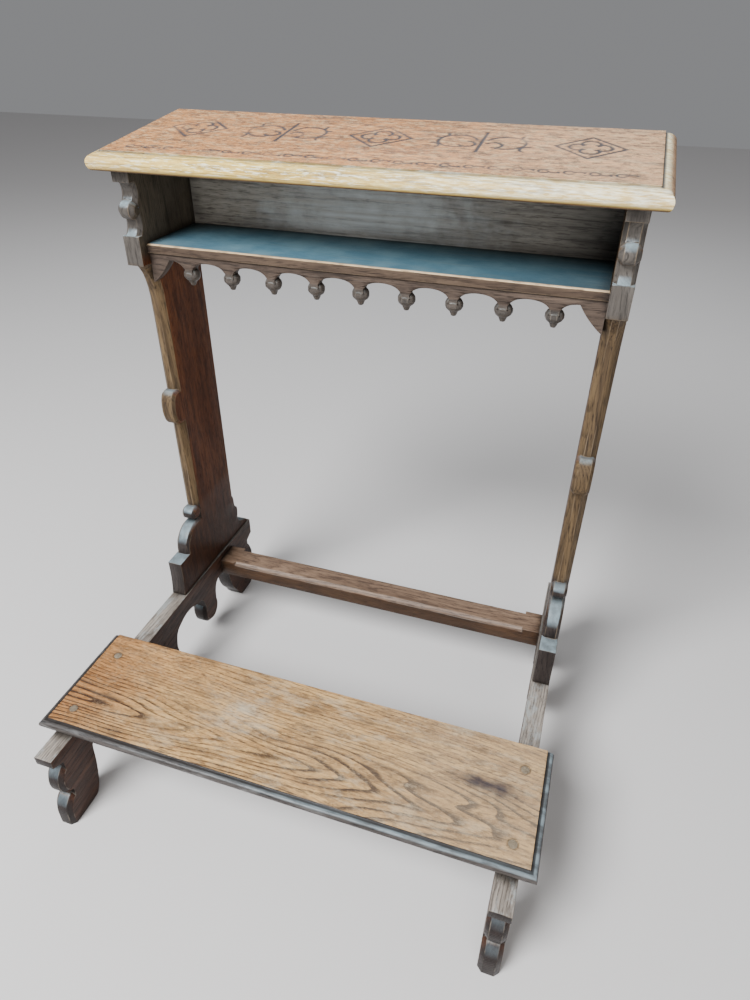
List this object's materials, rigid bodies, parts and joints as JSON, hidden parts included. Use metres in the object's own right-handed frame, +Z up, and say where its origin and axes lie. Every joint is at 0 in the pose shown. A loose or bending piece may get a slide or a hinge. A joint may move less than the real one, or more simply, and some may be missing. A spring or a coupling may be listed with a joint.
{
  "type": "prie-dieu",
  "caption": "Gothic Revival oak prayer desk: sloping book desk, shelf with arcaded frieze, shaped uprights on scrolled runners, stretcher and kneeling board.",
  "frame": {"origin": "on the floor under the middle of the whole piece", "axes": "+Z up, +Y from the kneeling user towards the desk's back, +X to the user's right"},
  "size_m": [0.647, 0.555, 0.8135],
  "materials": {
    "desk_oak": "worn waxed oak, orange-brown, pale on the nosing",
    "upright_oak": "dark waxed oak, glossy on the carved lobes",
    "runner_oak": "dark oak, dusty grey on top",
    "kneeler_oak": "golden oak with strong cathedral grain, worn in the middle",
    "shelf_oak": "dark blue-green faded cloth-coloured stain, pale worn front edge",
    "back_oak": "grey-brown oak",
    "frieze_oak": "grey-brown oak, balls polished by wear",
    "stretcher_oak": "tan-grey worn oak",
    "peg_oak": "oak end grain",
    "screw_steel": "dull steel"
  },
  "bodies": {
    "root": {"desk_top": "desk_oak", "back_board": "back_oak", "book_shelf": "shelf_oak", "shelf_frieze": "frieze_oak", "stretcher": "stretcher_oak", "kneeling_board": "kneeler_oak", "left_upright": "upright_oak", "right_upright": "upright_oak", "left_runner": "runner_oak", "right_runner": "runner_oak", "left_stretcher_peg": "peg_oak", "left_kneeler_peg_1": "peg_oak", "left_kneeler_peg_2": "peg_oak", "left_desk_dowel_1": "peg_oak", "left_desk_dowel_2": "peg_oak", "left_drawbore_peg_1": "peg_oak", "left_drawbore_peg_2": "peg_oak", "left_drawbore_peg_3": "peg_oak", "right_stretcher_peg": "peg_oak", "right_kneeler_peg_1": "peg_oak", "right_kneeler_peg_2": "peg_oak", "right_desk_dowel_1": "peg_oak", "right_desk_dowel_2": "peg_oak", "right_drawbore_peg_1": "peg_oak", "right_drawbore_peg_2": "peg_oak", "right_drawbore_peg_3": "peg_oak", "back_screw_1": "screw_steel", "back_screw_2": "screw_steel", "back_screw_3": "screw_steel", "back_screw_4": "screw_steel", "back_screw_5": "screw_steel", "back_screw_6": "screw_steel", "back_screw_7": "screw_steel"}
  },
  "joints": []
}
